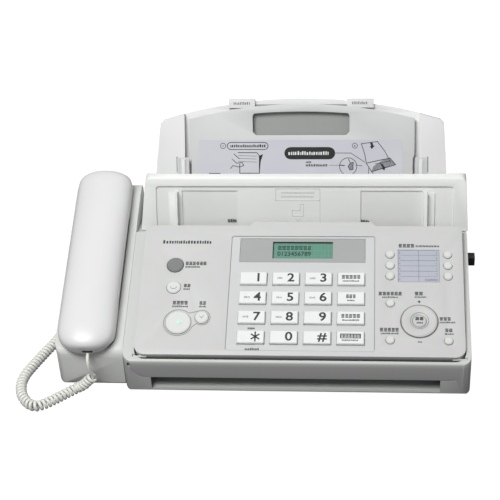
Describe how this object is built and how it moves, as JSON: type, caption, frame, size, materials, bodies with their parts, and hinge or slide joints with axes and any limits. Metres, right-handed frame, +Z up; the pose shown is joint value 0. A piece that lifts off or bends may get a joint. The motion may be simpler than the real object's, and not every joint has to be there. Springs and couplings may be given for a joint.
{
  "type": "fax machine",
  "caption": "Desktop plain-paper fax machine with a corded handset in a side cradle, sloping key panel, document guides and an arched rear paper tray.",
  "frame": {"origin": "on the floor under the middle of the machine's box without its curly cord", "axes": "+X to the machine's right as its user sees it, +Y to the rear, +Z up"},
  "size_m": [0.4031, 0.2695, 0.1724],
  "materials": {
    "body_white": "fine-textured off-white ABS",
    "handset_white": "smooth semi-gloss white",
    "key_white": "smooth white key caps",
    "grey_plastic": "matte grey",
    "display_grey": "satin mid grey",
    "dark_plastic": "matte black",
    "lcd_green": "reflective green liquid crystal",
    "card_lavender": "printed card under clear film",
    "cord_white": "flexible off-white PVC",
    "clear_plug": "translucent",
    "roller_rubber": "matte",
    "ink_film": "glossy film",
    "print_head_metal": "machined",
    "motor_steel": "plated",
    "circuit_board": "green solder mask"
  },
  "bodies": {
    "base": {"base_casing": "body_white", "bottom_plate": "grey_plastic", "handset_cradle": "body_white", "thermal_head": "print_head_metal", "image_sensor": "dark_plastic", "drive_motor": "motor_steel", "main_board": "circuit_board", "handset_cord": "cord_white", "jack_plug": "clear_plug"},
    "front_cover": {"front_cover": "body_white", "cover_liner": "grey_plastic", "keypad_plate": "body_white", "display_lens": "display_grey", "lcd_panel": "lcd_green", "directory_card": "card_lavender"},
    "rear_cover": {"rear_cover": "body_white"},
    "guide_left": {"guide_left": "body_white"},
    "guide_right": {"guide_right": "body_white"},
    "paper_tray": {"paper_tray": "body_white"},
    "tension_plate": {"tension_plate": "body_white"},
    "handset": {"handset_shell": "handset_white", "handset_underside": "handset_white", "handset_plug": "clear_plug"},
    "hook_switch": {"hook_switch": "grey_plastic"},
    "release_lever": {"release_lever": "dark_plastic"},
    "platen_roller": {"platen_roller": "roller_rubber"},
    "feed_roller": {"feed_roller": "roller_rubber"},
    "film_supply_roll": {"film_supply_roll": "ink_film"},
    "film_takeup_roll": {"film_takeup_roll": "ink_film"},
    "navigator_ring": {"navigator_ring": "body_white"},
    "set_key": {"set_key": "body_white"},
    "key_1": {"key_1": "key_white"},
    "key_2": {"key_2": "key_white"},
    "key_3": {"key_3": "key_white"},
    "redial_key": {"redial_key": "key_white"},
    "key_4": {"key_4": "key_white"},
    "key_5": {"key_5": "key_white"},
    "key_6": {"key_6": "key_white"},
    "flash_key": {"flash_key": "key_white"},
    "key_7": {"key_7": "key_white"},
    "key_8": {"key_8": "key_white"},
    "key_9": {"key_9": "key_white"},
    "handset_mute_key": {"handset_mute_key": "key_white"},
    "key_star": {"key_star": "key_white"},
    "key_0": {"key_0": "key_white"},
    "key_hash": {"key_hash": "key_white"},
    "monitor_key": {"monitor_key": "key_white"},
    "one_touch_key_1": {"one_touch_key_1": "key_white"},
    "one_touch_key_2": {"one_touch_key_2": "key_white"},
    "one_touch_key_3": {"one_touch_key_3": "key_white"},
    "one_touch_key_4": {"one_touch_key_4": "key_white"},
    "one_touch_key_5": {"one_touch_key_5": "key_white"},
    "one_touch_key_6": {"one_touch_key_6": "key_white"},
    "caller_id_key": {"caller_id_key": "key_white"},
    "lower_key": {"lower_key": "key_white"},
    "menu_key": {"menu_key": "key_white"},
    "auto_answer_key": {"auto_answer_key": "display_grey"},
    "stop_key": {"stop_key": "key_white"},
    "start_key": {"start_key": "key_white"},
    "copy_key": {"copy_key": "key_white"}
  },
  "joints": [
    {"name": "front_cover_hinge", "type": "hinge", "parent": "base", "child": "front_cover", "pos_m": [-0.00285, -0.11445, 0.0365], "axis": [1, 0, 0], "range_deg": [0, 55]},
    {"name": "rear_cover_hinge", "type": "hinge", "parent": "base", "child": "rear_cover", "pos_m": [-0.00285, 0.10875, 0.0545], "axis": [-1, 0, 0], "range_deg": [0, 60]},
    {"name": "guide_left_slide", "type": "slide", "parent": "rear_cover", "child": "guide_left", "axis": [1, 0, 0], "range_m": [0, 0.045]},
    {"name": "guide_right_slide", "type": "slide", "parent": "rear_cover", "child": "guide_right", "axis": [1, 0, 0], "range_m": [-0.045, 0]},
    {"name": "paper_tray_lift", "type": "slide", "parent": "rear_cover", "child": "paper_tray", "axis": [0, 0.4695, 0.8829], "range_m": [0, 0.07]},
    {"name": "tension_plate_hinge", "type": "hinge", "parent": "paper_tray", "child": "tension_plate", "pos_m": [-0.00285, 0.02646, 0.07309], "axis": [1, 0, 0], "range_deg": [0, 8], "stiffness_Nm_per_rad": 0.15, "springref_deg": -20.05},
    {"name": "handset_lift", "type": "slide", "parent": "base", "child": "handset", "axis": [0, -0.3007, 0.9537], "range_m": [0, 0.06]},
    {"name": "hook_switch_press", "type": "slide", "parent": "base", "child": "hook_switch", "axis": [0, -0.3007, 0.9537], "range_m": [-0.003, 0], "stiffness_N_per_m": 150, "springref_m": 0.003},
    {"name": "release_lever_slide", "type": "slide", "parent": "base", "child": "release_lever", "axis": [0, 1, 0], "range_m": [0, 0.008], "stiffness_N_per_m": 150, "springref_m": -0.006},
    {"name": "platen_spin", "type": "hinge", "parent": "base", "child": "platen_roller", "pos_m": [-0.00285, 0.01275, 0.0425], "axis": [1, 0, 0], "continuous": true},
    {"name": "film_takeup_spin", "type": "hinge", "parent": "base", "child": "film_takeup_roll", "pos_m": [-0.00285, -0.02025, 0.034], "axis": [1, 0, 0], "continuous": true},
    {"name": "film_supply_spin", "type": "hinge", "parent": "base", "child": "film_supply_roll", "pos_m": [-0.00285, 0.05175, 0.042], "axis": [1, 0, 0], "continuous": true},
    {"name": "feed_spin", "type": "hinge", "parent": "base", "child": "feed_roller", "pos_m": [-0.00285, 0.00175, 0.058], "axis": [1, 0, 0], "continuous": true},
    {"name": "navigator_rock", "type": "hinge", "parent": "front_cover", "child": "navigator_ring", "pos_m": [0.13195, -0.08324, 0.05079], "axis": [1, 0, 0], "range_deg": [-2.5, 2.5], "stiffness_Nm_per_rad": 0.5},
    {"name": "key_1_press", "type": "slide", "parent": "front_cover", "child": "key_1", "axis": [0, 0.342, -0.9397], "range_m": [0, 0.0012], "stiffness_N_per_m": 300, "springref_m": -0.002},
    {"name": "key_2_press", "type": "slide", "parent": "front_cover", "child": "key_2", "axis": [0, 0.342, -0.9397], "range_m": [0, 0.0012], "stiffness_N_per_m": 300, "springref_m": -0.002},
    {"name": "key_3_press", "type": "slide", "parent": "front_cover", "child": "key_3", "axis": [0, 0.342, -0.9397], "range_m": [0, 0.0012], "stiffness_N_per_m": 300, "springref_m": -0.002},
    {"name": "redial_key_press", "type": "slide", "parent": "front_cover", "child": "redial_key", "axis": [0, 0.342, -0.9397], "range_m": [0, 0.0012], "stiffness_N_per_m": 300, "springref_m": -0.002},
    {"name": "key_4_press", "type": "slide", "parent": "front_cover", "child": "key_4", "axis": [0, 0.342, -0.9397], "range_m": [0, 0.0012], "stiffness_N_per_m": 300, "springref_m": -0.002},
    {"name": "key_5_press", "type": "slide", "parent": "front_cover", "child": "key_5", "axis": [0, 0.342, -0.9397], "range_m": [0, 0.0012], "stiffness_N_per_m": 300, "springref_m": -0.002},
    {"name": "key_6_press", "type": "slide", "parent": "front_cover", "child": "key_6", "axis": [0, 0.342, -0.9397], "range_m": [0, 0.0012], "stiffness_N_per_m": 300, "springref_m": -0.002},
    {"name": "flash_key_press", "type": "slide", "parent": "front_cover", "child": "flash_key", "axis": [0, 0.342, -0.9397], "range_m": [0, 0.0012], "stiffness_N_per_m": 300, "springref_m": -0.002},
    {"name": "key_7_press", "type": "slide", "parent": "front_cover", "child": "key_7", "axis": [0, 0.342, -0.9397], "range_m": [0, 0.0012], "stiffness_N_per_m": 300, "springref_m": -0.002},
    {"name": "key_8_press", "type": "slide", "parent": "front_cover", "child": "key_8", "axis": [0, 0.342, -0.9397], "range_m": [0, 0.0012], "stiffness_N_per_m": 300, "springref_m": -0.002},
    {"name": "key_9_press", "type": "slide", "parent": "front_cover", "child": "key_9", "axis": [0, 0.342, -0.9397], "range_m": [0, 0.0012], "stiffness_N_per_m": 300, "springref_m": -0.002},
    {"name": "handset_mute_key_press", "type": "slide", "parent": "front_cover", "child": "handset_mute_key", "axis": [0, 0.342, -0.9397], "range_m": [0, 0.0012], "stiffness_N_per_m": 300, "springref_m": -0.002},
    {"name": "key_star_press", "type": "slide", "parent": "front_cover", "child": "key_star", "axis": [0, 0.342, -0.9397], "range_m": [0, 0.0012], "stiffness_N_per_m": 300, "springref_m": -0.002},
    {"name": "key_0_press", "type": "slide", "parent": "front_cover", "child": "key_0", "axis": [0, 0.342, -0.9397], "range_m": [0, 0.0012], "stiffness_N_per_m": 300, "springref_m": -0.002},
    {"name": "key_hash_press", "type": "slide", "parent": "front_cover", "child": "key_hash", "axis": [0, 0.342, -0.9397], "range_m": [0, 0.0012], "stiffness_N_per_m": 300, "springref_m": -0.002},
    {"name": "monitor_key_press", "type": "slide", "parent": "front_cover", "child": "monitor_key", "axis": [0, 0.342, -0.9397], "range_m": [0, 0.0012], "stiffness_N_per_m": 300, "springref_m": -0.002},
    {"name": "one_touch_key_1_press", "type": "slide", "parent": "front_cover", "child": "one_touch_key_1", "axis": [0, 0.342, -0.9397], "range_m": [0, 0.0012], "stiffness_N_per_m": 300, "springref_m": -0.002},
    {"name": "one_touch_key_2_press", "type": "slide", "parent": "front_cover", "child": "one_touch_key_2", "axis": [0, 0.342, -0.9397], "range_m": [0, 0.0012], "stiffness_N_per_m": 300, "springref_m": -0.002},
    {"name": "one_touch_key_3_press", "type": "slide", "parent": "front_cover", "child": "one_touch_key_3", "axis": [0, 0.342, -0.9397], "range_m": [0, 0.0012], "stiffness_N_per_m": 300, "springref_m": -0.002},
    {"name": "one_touch_key_4_press", "type": "slide", "parent": "front_cover", "child": "one_touch_key_4", "axis": [0, 0.342, -0.9397], "range_m": [0, 0.0012], "stiffness_N_per_m": 300, "springref_m": -0.002},
    {"name": "one_touch_key_5_press", "type": "slide", "parent": "front_cover", "child": "one_touch_key_5", "axis": [0, 0.342, -0.9397], "range_m": [0, 0.0012], "stiffness_N_per_m": 300, "springref_m": -0.002},
    {"name": "one_touch_key_6_press", "type": "slide", "parent": "front_cover", "child": "one_touch_key_6", "axis": [0, 0.342, -0.9397], "range_m": [0, 0.0012], "stiffness_N_per_m": 300, "springref_m": -0.002},
    {"name": "caller_id_key_press", "type": "slide", "parent": "front_cover", "child": "caller_id_key", "axis": [0, 0.342, -0.9397], "range_m": [0, 0.0012], "stiffness_N_per_m": 300, "springref_m": -0.002},
    {"name": "lower_key_press", "type": "slide", "parent": "front_cover", "child": "lower_key", "axis": [0, 0.342, -0.9397], "range_m": [0, 0.0012], "stiffness_N_per_m": 300, "springref_m": -0.002},
    {"name": "menu_key_press", "type": "slide", "parent": "front_cover", "child": "menu_key", "axis": [0, 0.342, -0.9397], "range_m": [0, 0.0012], "stiffness_N_per_m": 300, "springref_m": -0.002},
    {"name": "auto_answer_key_press", "type": "slide", "parent": "front_cover", "child": "auto_answer_key", "axis": [0, 0.342, -0.9397], "range_m": [0, 0.0012], "stiffness_N_per_m": 300, "springref_m": -0.002},
    {"name": "stop_key_press", "type": "slide", "parent": "front_cover", "child": "stop_key", "axis": [0, 0.342, -0.9397], "range_m": [0, 0.0012], "stiffness_N_per_m": 300, "springref_m": -0.002},
    {"name": "start_key_press", "type": "slide", "parent": "front_cover", "child": "start_key", "axis": [0, 0.342, -0.9397], "range_m": [0, 0.0012], "stiffness_N_per_m": 300, "springref_m": -0.002},
    {"name": "copy_key_press", "type": "slide", "parent": "front_cover", "child": "copy_key", "axis": [0, 0.342, -0.9397], "range_m": [0, 0.0012], "stiffness_N_per_m": 300, "springref_m": -0.002},
    {"name": "set_key_press", "type": "slide", "parent": "front_cover", "child": "set_key", "axis": [0, 0.342, -0.9397], "range_m": [0, 0.0012], "stiffness_N_per_m": 300, "springref_m": -0.002}
  ],
  "couplings": [
    {"joint": "guide_right_slide", "follows": "guide_left_slide", "ratio": -1},
    {"joint": "film_takeup_spin", "follows": "platen_spin", "ratio": -0.7273},
    {"joint": "film_supply_spin", "follows": "platen_spin", "ratio": 0.5333}
  ]
}
